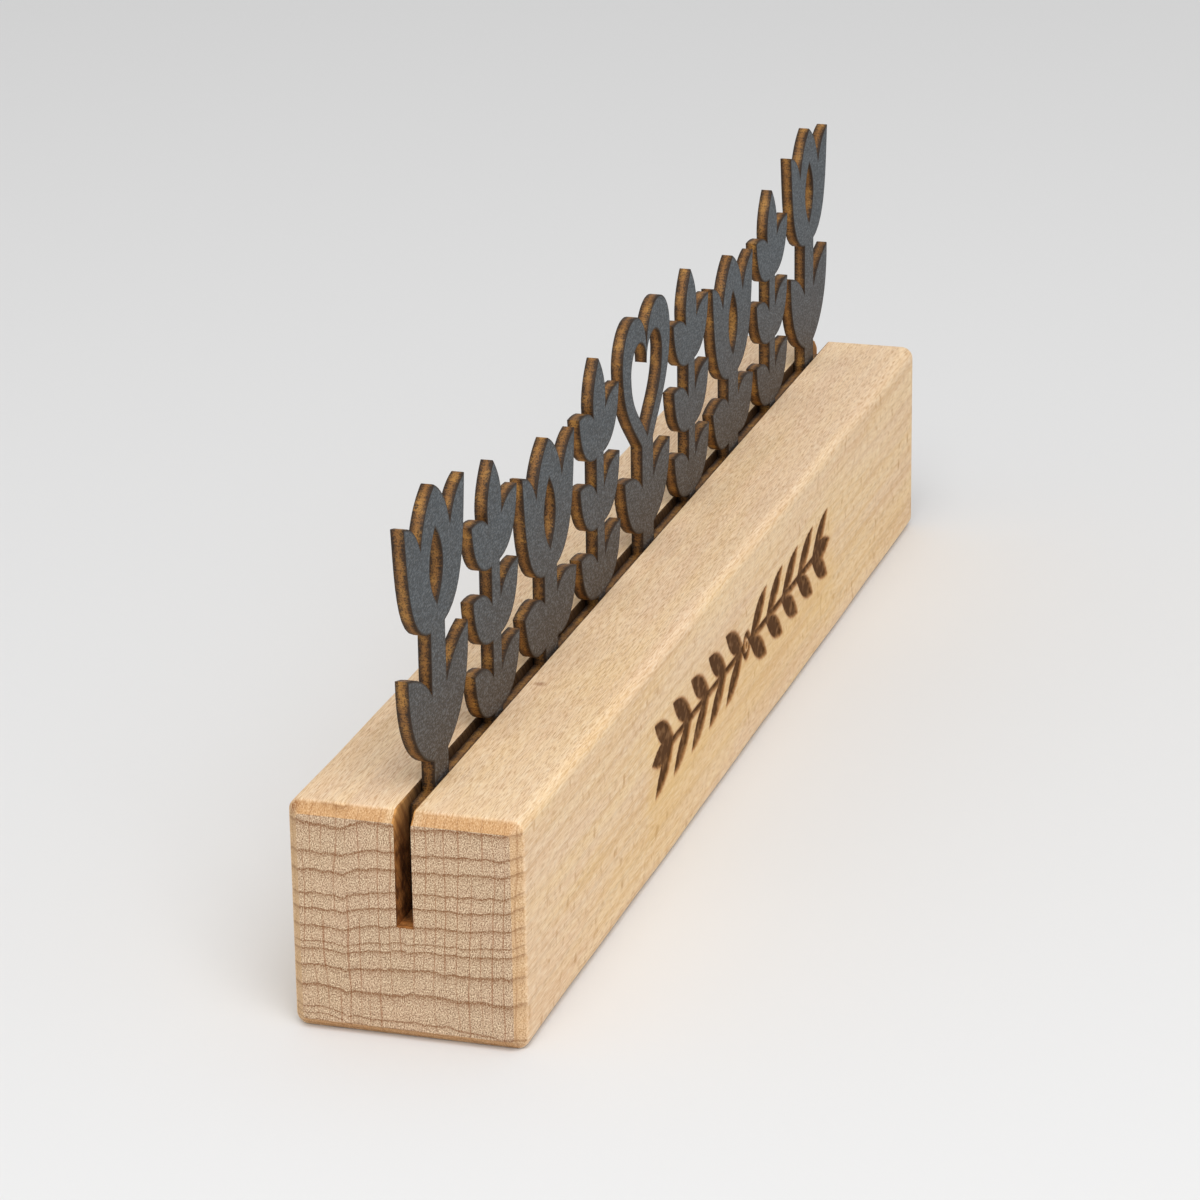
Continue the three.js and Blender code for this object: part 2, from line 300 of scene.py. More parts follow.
def ray_mask(tree, y, drift, strong):
    """Upright rays: the distance across the block in mm, with some wandering, to the nearest of evenly spaced
    sheets, some of which are strong."""
    across = put(tree, "ShaderNodeMath", {0: drift, 1: RAY_WANDER, 2: y}, operation="MULTIPLY_ADD")
    to_ray = put(tree, "ShaderNodeMath", {0: across, 1: RAY_SPACING / 2}, operation="PINGPONG")
    on_ray = put(tree, "ShaderNodeMapRange", {0: to_ray, 1: RAY_WIDTH, 2: 0.0})
    return put(tree, "ShaderNodeMath", {0: on_ray, 1: strong}, operation="MULTIPLY")


def grain(tree, names):
    """Masks of solid beech, in millimetres of Object space: those named, and "ring" and "ray"."""
    mm, place = millimetres(tree)
    names = (*names, "strong")
    patterns = {}
    for name in dict.fromkeys((*BENDING, *(MASKS[mask][0] for mask in names))):
        cells = put(tree, "ShaderNodeVectorMath", {0: mm, 1: GRAIN[name]}, operation="DIVIDE")
        patterns[name] = put(tree, "ShaderNodeTexNoise", {"Vector": cells, "Scale": 1.0, "Detail": 2.0})
    masks = {}
    for name in names:
        pattern, low, high = MASKS[name]
        masks[name] = put(tree, "ShaderNodeMapRange", {0: patterns[pattern], 1: low, 2: high})
    masks["ring"] = ring_mask(tree, place, patterns["wave"], patterns["scallop"])
    masks["ray"] = ray_mask(tree, place["Y"], patterns["drift"], masks["strong"])
    return masks


FRONT_DASH = 0.3  # share of the dashes' strength on top that is left on the front
# Small brown marks in the wood: place and reach in mm
MARKS = (
    ((-83.2, -4.3, 44.0), 1.5),  # a pin knot on top
    ((-149.0, 21.0, 43.0), 2.2),  # a bruised corner
)
MARK_CORE = 0.25  # share of its reach in which a mark is full
MARK_CRUMB = 0.6  # share of a mark that pores break up
BURN_LEAST, BURN_UNEVEN = 0.74, 0.4  # heat of the burning: the least, and what its uneven pattern adds
TOAST_FROM, TOAST_FULL = 0.02, 0.55  # heat at which toasting begins and at which it is full
CHAR_FROM, CHAR_FULL = 0.45, 0.95  # and the same for charring
BARE_ROUGHNESS, CHAR_ROUGHNESS = 0.58, 0.3  # of the bare wood, and what charring adds


def marked(tree, colour, crumb):
    """The wood's colour with its small brown marks, which the pores break up."""
    mm, _ = millimetres(tree)
    crumbling = {0: crumb, 1: MARK_CRUMB, 2: 1 - MARK_CRUMB}
    crumbly = put(tree, "ShaderNodeMath", crumbling, operation="MULTIPLY_ADD")
    for place, reach in MARKS:
        away = put(tree, "ShaderNodeVectorMath", {0: mm, 1: place}, operation="DISTANCE").outputs["Value"]
        near = put(tree, "ShaderNodeMapRange", {0: away, 1: reach, 2: reach * MARK_CORE})
        mark = put(tree, "ShaderNodeMath", {0: near, 1: crumbly}, operation="MULTIPLY")
        colour = tinted(tree, colour, ((mark, 0.8, "#8f5a32"),))
    return colour


def burnt(tree, colour, uneven, garland):
    """The wood's colour with the garland burnt in, from toasted to charred, and the mask of the char."""
    burn = put(tree, "ShaderNodeAttribute", attribute_name="burn").outputs["Fac"]
    burning = {0: uneven, 1: BURN_UNEVEN, 2: BURN_LEAST}
    lively = put(tree, "ShaderNodeMath", burning, operation="MULTIPLY_ADD")
    heat = put(tree, "ShaderNodeMath", {0: burn, 1: lively}, operation="MULTIPLY")
    toasted = put(tree, "ShaderNodeMapRange", {0: heat, 1: TOAST_FROM, 2: TOAST_FULL})
    charred = put(tree, "ShaderNodeMapRange", {0: heat, 1: CHAR_FROM, 2: CHAR_FULL})
    colour = tinted(tree, colour, (
        (toasted, 0.75, garland.halo_colour),
        (charred, 0.95, garland.burn_colour),
    ))
    return colour, charred


def sanded_beech(block, garland):
    """Beech sanded along the grain and left bare: pale and nearly matt, with faint ring lines. Short dark ray
    dashes are strong on top and faint on the front, which also has faint long lines and a few upright flecks.
    On the end chamfers it turns more orange, and rings, rays and pores show. Where the garland is burnt in,
    it goes from toasted to charred, and below that the fumes of the burning have stained it golden."""
    material, tree = new_material("sanded_beech")
    wood = grain(tree, ("dash", "vessel", "fibre", "crumb", "streak", "line", "fleck", "blush", "tone",
                        "heat"))
    flat_sawn = put(tree, "ShaderNodeAttribute", attribute_name="flat_sawn").outputs["Fac"]
    cross_cut = put(tree, "ShaderNodeAttribute", attribute_name="cross_cut").outputs["Fac"]
    upright = put(tree, "ShaderNodeMapRange", {0: flat_sawn, 1: 1.0, 2: 0.0})
    weakening = {0: flat_sawn, 1: 1 - FRONT_DASH, 2: FRONT_DASH}
    contrast = put(tree, "ShaderNodeMath", weakening, operation="MULTIPLY_ADD")
    dash = put(tree, "ShaderNodeMath", {0: wood["dash"], 1: contrast}, operation="MULTIPLY")
    line = put(tree, "ShaderNodeMath", {0: wood["line"], 1: upright}, operation="MULTIPLY")
    fleck = put(tree, "ShaderNodeMath", {0: wood["fleck"], 1: upright}, operation="MULTIPLY")
    stain = put(tree, "ShaderNodeAttribute", attribute_name="stain").outputs["Fac"]
    open_grain = {name: wood[name] for name in ("fibre", "vessel", "ray", "ring")}
    cut = {}
    for name, mask in {"top": flat_sawn, "side": upright, **open_grain}.items():
        cut[name] = put(tree, "ShaderNodeMath", {0: mask, 1: cross_cut}, operation="MULTIPLY")
    colour = tinted(tree, rgba(block.face_colour), (
        (upright, 0.35, "#ebc68a"),
        (wood["tone"], 0.45, "#e9c384"),
        (wood["blush"], 0.45, "#e4c0a3"),
        (wood["streak"], 0.25, "#fce6c6"),
        (wood["fibre"], 0.35, "#ffefd6"),
        (wood["ring"], 0.1, block.ring_colour),
        (wood["vessel"], 0.28, "#a8753f"),
        (dash, 0.44, "#a8713f"),
        (line, 0.2, "#cfa06b"),
        (fleck, 0.6, "#bb864c"),
        (stain, 0.3, "#eec268"),
        (cut["top"], 0.85, "#c4935f"),
        (cut["side"], 0.7, "#c69f74"),
        (cut["fibre"], 0.35, "#f6d9ae"),
        (cut["vessel"], 0.45, "#85582d"),
        (cut["ray"], 0.5, "#94623a"),
        (cut["ring"], 0.5, block.ring_colour),
    ))
    colour = marked(tree, colour, wood["crumb"])
    colour, charred = burnt(tree, colour, wood["heat"], garland)
    roughening = {0: charred, 1: CHAR_ROUGHNESS, 2: BARE_ROUGHNESS}
    roughness = put(tree, "ShaderNodeMath", roughening, operation="MULTIPLY_ADD")
    relief = put(tree, "ShaderNodeMath", {0: dash, 1: wood["vessel"]}, operation="ADD")
    hollows = {"Strength": 0.25, "Distance": 0.05 * MM, "Height": relief}
    bump = put(tree, "ShaderNodeBump", hollows, invert=True)
    finish_material(tree, {"Base Color": colour, "Roughness": roughness, "Specular IOR Level": 0.16,
                           "Normal": bump})
    return material


def beech_end_grain(block):
    """Beech cut across the grain: darker and duller, speckled with open pores, with crumbly wavy ring lines
    one above the other and fine upright rays."""
    material, tree = new_material("beech_end_grain")
    wood = grain(tree, ("vessel", "fibre", "crumb", "blush", "tone"))
    crumbling = {0: wood["crumb"], 1: RING_CRUMB, 2: 1 - RING_CRUMB}
    gaps = put(tree, "ShaderNodeMath", crumbling, operation="MULTIPLY_ADD")
    line = put(tree, "ShaderNodeMath", {0: wood["ring"], 1: gaps}, operation="MULTIPLY")
    colour = tinted(tree, rgba(block.end_colour), (
        (wood["tone"], 0.3, "#c4a27b"),
        (wood["blush"], 0.3, "#caa58a"),
        (wood["fibre"], 0.8, "#f3debb"),
        (wood["vessel"], 0.75, "#644529"),
        (wood["ray"], 0.75, "#925c38"),
        (line, 0.85, block.ring_colour),
    ))
    relief = put(tree, "ShaderNodeMath", {0: wood["vessel"], 1: line}, operation="ADD")
    hollows = {"Strength": 0.4, "Distance": 0.08 * MM, "Height": relief}
    bump = put(tree, "ShaderNodeBump", hollows, invert=True)
    finish_material(tree, {"Base Color": colour, "Roughness": 0.75, "Specular IOR Level": 0.25,
                           "Normal": bump})
    return material


SAW_MARK = 1.3  # mm between the marks that the saw's teeth leave
SAW_SLANT = 0.7  # how far a mark leans along the block for each unit of height
SAW_SCORCH = 2.6  # mm, size of the scorched patches
TOOTH_FROM, TOOTH_FULL = 0.42, 0.62  # values of the tooth pattern where a mark begins and where it is full
SCORCH_FROM, SCORCH_FULL = 0.4, 0.6  # and the same for a scorched patch
SLOT_SHADE_REACH = (1.5, 13.0)  # mm from an end, where the painted shade inside the slot begins and where it is darkest
SAW_CLEAN = (0.5, 9.0)  # mm below the block's top, where the painted shade lower in the slot and the scorch begin and where both are full


def sawn_beech(block):
    """Beech as the saw leaves it in the slot: golden at the top of an end's mouth, with slanting tooth
    marks and scorched patches. Painted shade makes it redder brown lower down and darker further in."""
    material, tree = new_material("sawn_beech")
    mm, (x, _, z) = millimetres(tree)
    half = BLOCK_SIZE[0] * PER_METRE / 2
    aside = put(tree, "ShaderNodeMath", {0: x}, operation="ABSOLUTE")
    # painted shade: the slot darkens further in from each end
    inside = put(tree, "ShaderNodeMapRange", {0: aside, 1: half - SLOT_SHADE_REACH[0], 2: half - SLOT_SHADE_REACH[1]})
    along = put(tree, "ShaderNodeMath", {0: z, 1: SAW_SLANT, 2: x}, operation="MULTIPLY_ADD")
    teeth = {"W": along, "Scale": 1 / SAW_MARK, "Detail": 3.0}
    marks = put(tree, "ShaderNodeTexNoise", teeth, noise_dimensions="1D")
    patches = put(tree, "ShaderNodeTexNoise", {"Vector": mm, "Scale": 1 / SAW_SCORCH, "Detail": 4.0})
    mark = put(tree, "ShaderNodeMapRange", {0: marks, 1: TOOTH_FROM, 2: TOOTH_FULL})
    burnt = put(tree, "ShaderNodeMapRange", {0: patches, 1: SCORCH_FROM, 2: SCORCH_FULL})
    top = BLOCK_SIZE[2] * PER_METRE
    # painted shade: redder and darker lower down the slot; this also keeps the scorch below the top
    below = put(tree, "ShaderNodeMapRange", {0: z, 1: top - SAW_CLEAN[0], 2: top - SAW_CLEAN[1]})
    scorch = put(tree, "ShaderNodeMath", {0: burnt, 1: below}, operation="MULTIPLY")
    colour = tinted(tree, rgba(block.slot_colour), (
        (mark, 0.55, "#7a4a20"),
        # painted shade, redder brown lower down the slot
        (below, 0.5, "#a35414"),
        (scorch, 0.8, "#4a2409"),
        # painted shade, near black further into the slot
        (inside, 0.88, "#1f0f07"),
    ))
    bump = put(tree, "ShaderNodeBump", {"Strength": 0.6, "Distance": 0.2 * MM, "Height": mark})
    finish_material(tree, {"Base Color": colour, "Roughness": 0.85, "Specular IOR Level": 0.2,
                           "Normal": bump})
    return material


LACQUER_BUMP = (0.7, 0.34, 0.34)  # mm along X, Y and Z: bumps in the lacquer, longer the way it was rolled on
GRIT_DARK, GRIT_PLAIN, GRIT_LIGHT = 0.34, 0.5, 0.66  # values of the bumps with the darkest painted shade, with none, and with the lightest painted highlight
LACQUER_CLOUD = 9.0  # mm, size of its faint clouds
CLOUD_FROM, CLOUD_FULL = 0.35, 0.65  # values of their pattern where a cloud begins and where it is full
BROWN_FROM, BROWN_FULL = 0.1, 0.5  # values of the ragged border where browning begins and where it is full
FOOT_SHADE_HEIGHT = 34.0  # mm above the block at which the painted shade towards the foot has faded


def matt_lacquer(panel):
    """Grey lacquer rolled on fibreboard before it was cut: matt and grainy, faintly clouded and browned
    in a narrow border where the laser passed. Painted highlight lies on the grit's bumps and painted shade
    between them, and painted shade makes the lacquer browner and darker towards the foot."""
    material, tree = new_material("matt_lacquer")
    mm, (_, _, z) = millimetres(tree)
    cells = put(tree, "ShaderNodeVectorMath", {0: mm, 1: LACQUER_BUMP}, operation="DIVIDE")
    grit = put(tree, "ShaderNodeTexNoise", {"Vector": cells, "Scale": 1.0, "Detail": 3.0})
    clouds = put(tree, "ShaderNodeTexNoise", {"Vector": mm, "Scale": 1 / LACQUER_CLOUD, "Detail": 3.0})
    # painted highlight on the raised grit and painted shade in its hollows
    light = put(tree, "ShaderNodeMapRange", {0: grit, 1: GRIT_PLAIN, 2: GRIT_LIGHT})
    dark = put(tree, "ShaderNodeMapRange", {0: grit, 1: GRIT_PLAIN, 2: GRIT_DARK})
    cloud = put(tree, "ShaderNodeMapRange", {0: clouds, 1: CLOUD_FROM, 2: CLOUD_FULL})
    foot = BLOCK_SIZE[2] * PER_METRE
    # painted shade: browner and darker towards the foot
    painted_foot_shade = put(tree, "ShaderNodeMapRange", {0: z, 1: foot + FOOT_SHADE_HEIGHT, 2: foot})
    scorch = put(tree, "ShaderNodeAttribute", attribute_name="scorch").outputs["Fac"]
    ragged = put(tree, "ShaderNodeMath", {0: grit, 1: scorch}, operation="MULTIPLY")
    browned = put(tree, "ShaderNodeMapRange", {0: ragged, 1: BROWN_FROM, 2: BROWN_FULL})
    colour = tinted(tree, rgba(panel.lacquer_colour), (
        (cloud, 0.25, "#434546"),
        # painted shade towards the foot
        (painted_foot_shade, 0.75, "#483523"),
        # painted highlight and painted shade of the grit
        (light, 0.38, "#868d93"),
        (dark, 0.5, "#222526"),
        (browned, 0.9, panel.char_colour),
    ))
    bump = put(tree, "ShaderNodeBump", {"Strength": 0.9, "Distance": 0.16 * MM, "Height": grit})
    finish_material(tree, {"Base Color": colour, "Roughness": 0.58, "Specular IOR Level": 0.3,
                           "Normal": bump})
    return material


EDGE_STREAK = (0.4, 2.5, 0.4)  # mm along X, Y and Z: streaks run through the board
EDGE_SPECK = 0.3  # mm
EDGE_PATCH = 3.5  # mm, size of its darker patches
STREAK_FROM, STREAK_FULL = 0.42, 0.62  # values of each pattern where its mask begins and where it is full
SPECK_FROM, SPECK_FULL = 0.52, 0.64
GLOW_FROM, GLOW_FULL = 0.5, 0.36
PATTERN_MIDDLE = 0.5  # middle value of a pattern
EDGE_RAGGED = (0.9, 1.0, 0.6)  # how far patches, specks and streaks shift the border of the char
# How dark the char is from the middle of the board, 0, to its faces, 1
EDGE_CHAR = ((0.1, 0.0), (0.4, 0.45), (0.8, 1.0))


def laser_cut_edge(panel):
    """Cut edge of fibreboard: toasted gold in the middle of the board and charred in a ragged border towards
    both faces, with dark specks and fine streaks where the beam pulsed."""
    material, tree = new_material("laser_cut_edge")
    mm, (_, y, _) = millimetres(tree)
    away = put(tree, "ShaderNodeMath", {0: y}, operation="ABSOLUTE")
    border = put(tree, "ShaderNodeMath", {0: away, 1: PANEL_THICKNESS * PER_METRE / 2}, operation="DIVIDE")
    cells = put(tree, "ShaderNodeVectorMath", {0: mm, 1: EDGE_STREAK}, operation="DIVIDE")
    streaks = put(tree, "ShaderNodeTexNoise", {"Vector": cells, "Scale": 1.0, "Detail": 2.0})
    specks = put(tree, "ShaderNodeTexNoise", {"Vector": mm, "Scale": 1 / EDGE_SPECK, "Detail": 2.0})
    patches = put(tree, "ShaderNodeTexNoise", {"Vector": mm, "Scale": 1 / EDGE_PATCH, "Detail": 4.0})
    for pattern, amount in zip((patches, specks, streaks), EDGE_RAGGED):
        shift = put(tree, "ShaderNodeMath", {0: pattern, 1: PATTERN_MIDDLE}, operation="SUBTRACT")
        border = put(tree, "ShaderNodeMath", {0: shift, 1: amount, 2: border}, operation="MULTIPLY_ADD")
    char = put(tree, "ShaderNodeValToRGB", {0: border}, EDGE_CHAR)
    streak = put(tree, "ShaderNodeMapRange", {0: streaks, 1: STREAK_FROM, 2: STREAK_FULL})
    speck = put(tree, "ShaderNodeMapRange", {0: specks, 1: SPECK_FROM, 2: SPECK_FULL})
    glow = put(tree, "ShaderNodeMapRange", {0: patches, 1: GLOW_FROM, 2: GLOW_FULL})
    colour = tinted(tree, rgba(panel.edge_colour), (
        (glow, 0.6, "#b5843e"),
        (streak, 0.25, "#56381a"),
        (speck, 0.6, "#2f1d0d"),
        (char, 0.94, panel.char_colour),
    ))
    bump = put(tree, "ShaderNodeBump", {"Strength": 0.4, "Distance": 0.1 * MM, "Height": specks})
    finish_material(tree, {"Base Color": colour, "Roughness": 0.6, "Specular IOR Level": 0.35,
                           "Normal": bump})
    return material


def plain_floor(stage):
    """Matt pale floor: one even tone that takes the shadow."""
    material, tree = new_material("plain_floor")
    finish_material(tree, {"Base Color": rgba(stage.floor_colour), "Roughness": 0.9})
    return material


def new_piece(name, vertices, faces, materials, indices, attributes):
    """A mesh object at the origin, from points, faces, each face's material number and point attributes."""
    mesh = bpy.data.meshes.new(name)
    mesh.from_pydata(vertices.tolist(), [], faces)
    for material in materials:
        mesh.materials.append(material)
    mesh.polygons.foreach_set("material_index", np.asarray(indices, np.int32))
    mesh.polygons.foreach_set("use_smooth", np.ones(len(mesh.polygons), bool))
    mesh.set_sharp_from_angle(angle=SHARP_ANGLE)
    for attribute, values in attributes.items():
        mesh.attributes.new(attribute, "FLOAT", "POINT").data.foreach_set("value", values.astype(np.float32))
    if mesh.validate():
        raise RuntimeError(f"{name} has faulty faces")
    piece = bpy.data.objects.new(name, mesh)
    bpy.context.scene.collection.objects.link(piece)
    return piece


OTHER_WAY = [0, 3, 2, 1]  # order of a quad's corners that turns its face round


def strip_quads(rows, following):
    """Quads between neighbouring rows of points, where following gives each point's next one in its row."""
    count = len(following)
    row, i = np.meshgrid(np.arange(rows - 1) * count, np.arange(count), indexing="ij")
    after = following[i]
    return np.stack((row + i, row + after, row + count + after, row + count + i), -1).reshape(-1, 4)


def smoothstep(low, high, value):
    """0 at low and before, 1 at high and past it, and an S-curve between."""
    t = np.clip((value - low) / (high - low), 0, 1)
    return t * t * (3 - 2 * t)


LEAF_PAIRS = 5  # on each half
LEAF_LEAN = np.radians(30)  # of a leaf from the stem
LEAF_POINTS = 9
LEAF_FOOT, LEAF_TIP = 0.06, 0.99  # where its foot and its tip lie on the half wave of the sine
LEAF_BELLY = 1.1  # below 1, a leaf is widest near its foot, and above 1 near its tip
STEM_SHARE = 0.3  # of a leaf's width
FLOWER_SHARE = 0.3  # of the garland's height, across the ring in the middle
BURN_OUTSIDE = 0.9 * MM  # how far the toasting reaches past a stroke
BURN_INSIDE = 0.4 * MM  # how far inside a stroke the char is full
STAIN_DROP = 6 * MM  # by which the golden stain of the burning lies below the garland
STAIN_REACH = 9 * MM  # how far it fades out


def stroke_distance(x, z, path, radius):
    """Signed distance from points (x, z) to a stroke: the least, over the path's segments, of the distance to
    the segment minus the radius at the nearest place on it."""
    least = np.full(x.shape, np.inf)
    for start, end, wide, narrow in zip(path, path[1:], radius, radius[1:]):
        run = end - start
        share = np.clip(((x - start[0]) * run[0] + (z - start[1]) * run[1]) / (run @ run), 0, 1)
        away = np.hypot(x - start[0] - share * run[0], z - start[1] - share * run[1])
        least = np.minimum(least, away - wide - share * (narrow - wide))
    return least


def garland_distance(x, z, garland):
    """Signed distance from points (x, z) on the front to the garland, the same on both sides of x = 0: a ring
    in the middle with a dot in it, a straight stem, leaves in pairs that lean outwards, and a leaf at the
    tip. The radius of a leaf is a sine of the way from its foot to its tip."""
    x, z = np.broadcast_arrays(np.abs(x), z - garland.level)
    half = garland.length / 2
    stem = garland.stroke / 2 * STEM_SHARE
    ring = garland.height * FLOWER_SHARE / 2
    leaf = garland.height / 2 / np.sin(LEAF_LEAN)
    stem_end = half - leaf
    middle = np.hypot(x, z)
    distance = np.minimum(np.abs(middle - ring) - stem, middle - stem)
    straight = np.array(((ring, 0.0), (stem_end, 0.0)))
    distance = np.minimum(distance, stroke_distance(x, z, straight, (stem, stem)))

    leaves = [((stem_end, 0.0), (half, 0.0))]
    for foot in np.linspace(ring + stem, stem_end, LEAF_PAIRS):
        for side in (-1, 1):
            tip = (foot + leaf * np.cos(LEAF_LEAN), side * garland.height / 2)
            leaves.append(((foot, 0.0), tip))
    share = np.linspace(0, 1, LEAF_POINTS)
    wave = LEAF_FOOT + (LEAF_TIP - LEAF_FOOT) * share ** LEAF_BELLY
    leaf_radius = garland.stroke / 2 * np.sin(np.pi * wave)
    for foot, tip in leaves:
        path = np.array(foot) + share[:, None] * np.subtract(tip, foot)
        distance = np.minimum(distance, stroke_distance(x, z, path, leaf_radius))
    return distance


SLOT_NEAR = 1 / 8  # of the block's width from its middle plane, within which its inner points lie
SLOT_ABOVE = 1 / 8  # of the block's height above the table, over which they lie
CLOSE = 0.01 * MM  # under this, two places are the same


def points_of(node):
    """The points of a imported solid, as rows of x, y and z."""
    points = np.empty(len(node.data.vertices) * 3)
    node.data.vertices.foreach_get("co", points)
    return points.reshape(-1, 3)


def slot_of(node):
    """Half the width and the floor's height of the slot, read from the block's solid: its points near the
    middle plane and well above the table belong to the slot."""
    points = points_of(node)
    near = np.abs(points[:, 1]) < BLOCK_SIZE[1] * SLOT_NEAR
    inner = points[near & (points[:, 2] > BLOCK_SIZE[2] * SLOT_ABOVE)]
    return np.abs(inner[:, 1]).max(), inner[:, 2].min()


CORNER_POINTS = 9  # on each rounded long edge
LIP_POINTS = 4  # on each rounded edge of the slot's mouth
FLAT_POINTS = 5  # on each plain flat stretch
FLAT_MARGIN = 4 * MM  # between a flat stretch and its corner
GARLAND_STEP = 0.36 * MM  # between points over the garland
GARLAND_MARGIN = 1.5 * MM  # past the garland's own box
SLOT_LIP = 0.35 * MM  # rounding of the slot's mouth
ARRIS_SOFT = 0.2 * MM  # softness where the end chamfer meets a long face
END_RADIUS_SHARE = 0.3  # of the long edges' radius is left at the very end
PLAIN_STATIONS = 16  # between an end and the garland
CHAMFER_STEPS = (0.0, 0.05, 0.2, 0.5, 0.8, 0.93, 1.0, 1.1, 1.35, 2.0)  # from an end, in chamfer lengths
CROSS_CUT_SHARE = 0.25  # of the chamfer's inset over which its wood turns to cross-cut wood
EDGE_WAVER = 0.12  # share by which the long edges' radius wavers
# The waves of that waver: strength, length for one radian, and start
WAVES = ((0.6, 19 * MM, 1.3), (0.4, 7.3 * MM, 0.0))
PRESS_OUTSIDE = 0.25 * MM  # where the wall of a burnt stroke begins, outside the stroke
PRESS_INSIDE = 0.3 * MM  # and where it ends, inside
SANDED, END_GRAIN, SAWN = range(3)  # numbers of the block's materials


def block_profile(slot_half, slot_floor, garland):
    """The block's cross-section as a closed loop: from the slot's front lip over the front edge, down the
    front, under the block, up the back and through the slot. Each stretch has a name, how far it faces up or
    down, its places (y, z), directions that the edge radius is multiplied by, and fixed offsets."""
    half, top = BLOCK_SIZE[1] / 2, BLOCK_SIZE[2]
    turn = np.linspace(0, np.pi / 2, CORNER_POINTS)
    out, rise = 1 - np.sin(turn), 1 - np.cos(turn)
    lip = np.linspace(0, np.pi / 2, LIP_POINTS)
    lip_out, lip_down = SLOT_LIP * (1 - np.sin(lip)), -SLOT_LIP * (1 - np.cos(lip))
    reach = garland.height / 2 + GARLAND_MARGIN
    band = np.linspace(garland.level + reach, garland.level - reach, int(2 * reach / GARLAND_STEP))
    front = np.concatenate(([top - FLAT_MARGIN], band, [FLAT_MARGIN]))
    across = np.linspace(slot_half + FLAT_MARGIN / 2, half - FLAT_MARGIN, FLAT_POINTS)
    under = np.linspace(-half + FLAT_MARGIN, half - FLAT_MARGIN, FLAT_POINTS)
    up = np.linspace(FLAT_MARGIN, top - FLAT_MARGIN, FLAT_POINTS)
    wall = np.linspace(top - FLAT_MARGIN, slot_floor, FLAT_POINTS)
    facing = np.cos(turn) ** 2
    stretches = (
        ("slot", 0, -slot_half, top, 0, 0, -lip_out[::-1], lip_down[::-1]),
        ("top", 1, -across, top, 0, 0, 0, 0),
        ("edge", facing, -half, top, out, -rise, 0, 0),
        ("front", 0, -half, front, 0, 0, 0, 0),
        ("edge", facing[::-1], -half, 0, rise, out, 0, 0),
        ("bottom", 1, under, 0, 0, 0, 0, 0),
        ("edge", facing, half, 0, -out, rise, 0, 0),
        ("back", 0, half, up, 0, 0, 0, 0),
        ("edge", facing[::-1], half, top, -rise, -out, 0, 0),
        ("top", 1, across[::-1], top, 0, 0, 0, 0),
        ("slot", 0, slot_half, top, 0, 0, lip_out, lip_down),
        ("slot", 0, slot_half, wall, 0, 0, 0, 0),
        ("slot", 0, -slot_half, wall[::-1], 0, 0, 0, 0),
    )
    rows = [np.stack(np.broadcast_arrays(*row), 1) for _, *row in stretches]
    names = np.repeat([name for name, *_ in stretches], [len(row) for row in rows])
    columns = np.concatenate(rows)
    return names, columns[:, 0], columns[:, 1:3], columns[:, 3:5], columns[:, 5:7]


def block_stations(chamfer, garland):
    """Places along X: close together over both end chamfers and over the garland, wide apart between."""
    end = BLOCK_SIZE[0] / 2
    chamfered = -end + chamfer * np.array(CHAMFER_STEPS)
    reach = garland.length / 2 + GARLAND_MARGIN
    plain = np.linspace(chamfered[-1], -reach, PLAIN_STATIONS + 2)[1:-1]
    over = np.linspace(-reach, reach, int(2 * reach / GARLAND_STEP))
    return np.concatenate((chamfered, plain, over, -plain[::-1], -chamfered[::-1]))


def wavering(x):
    """A slow waver along the block, of one unit at most: the sum of two sines. Hand sanding leaves no edge
    quite even."""
    return sum(strength * np.sin(x / length + start) for strength, length, start in WAVES)


def chamfer_inset(x, chamfer):
    """How far the profile is drawn in at each place along X: a straight slope towards each end that bends out
    of the long faces as a hyperbola does."""
    past = chamfer - (BLOCK_SIZE[0] / 2 - np.abs(x))
    return (past + np.hypot(past, ARRIS_SOFT)) / 2


def block_points(x, inset, block, places, bends, offsets):
    """The profile's y and z at each place along X: its places, held inside the drawn-in box, with rounded
    edges whose radius wavers along the block and lessens at the ends."""
    kept = 1 - (1 - END_RADIUS_SHARE) * smoothstep(0, block.end_chamfer, inset)
    radius = (block.edge_radius * (1 + EDGE_WAVER * wavering(x)) * kept)[:, None, None]
    low = np.stack((inset - BLOCK_SIZE[1] / 2, inset), 1)[:, None]
    high = np.stack((BLOCK_SIZE[1] / 2 - inset, BLOCK_SIZE[2] - inset), 1)[:, None]
    points = np.clip(places, low, high) + radius * bends + offsets
    return points[..., 0], points[..., 1]


def end_faces(names, z, slot_floor):
    """One end of the block as three convex faces, as numbers along its profile: the part in front of the
    slot, the part behind it and the part below both, which meet on lines from the slot's bottom corners."""
    around = len(names)
    corners = np.flatnonzero((names == "slot") & (np.abs(z - slot_floor) < CLOSE))
    back_corner, front_corner = corners
    low = z <= slot_floor
    front_cut = np.flatnonzero((names == "front") & low)[0]
    back_cut = np.flatnonzero((names == "back") & low)[-1]
    return (
        [*range(front_corner, around), *range(0, front_cut + 1)],
        [*range(back_cut, back_corner + 1)],
        [front_corner, *range(front_cut, back_cut + 1), back_corner],
    )


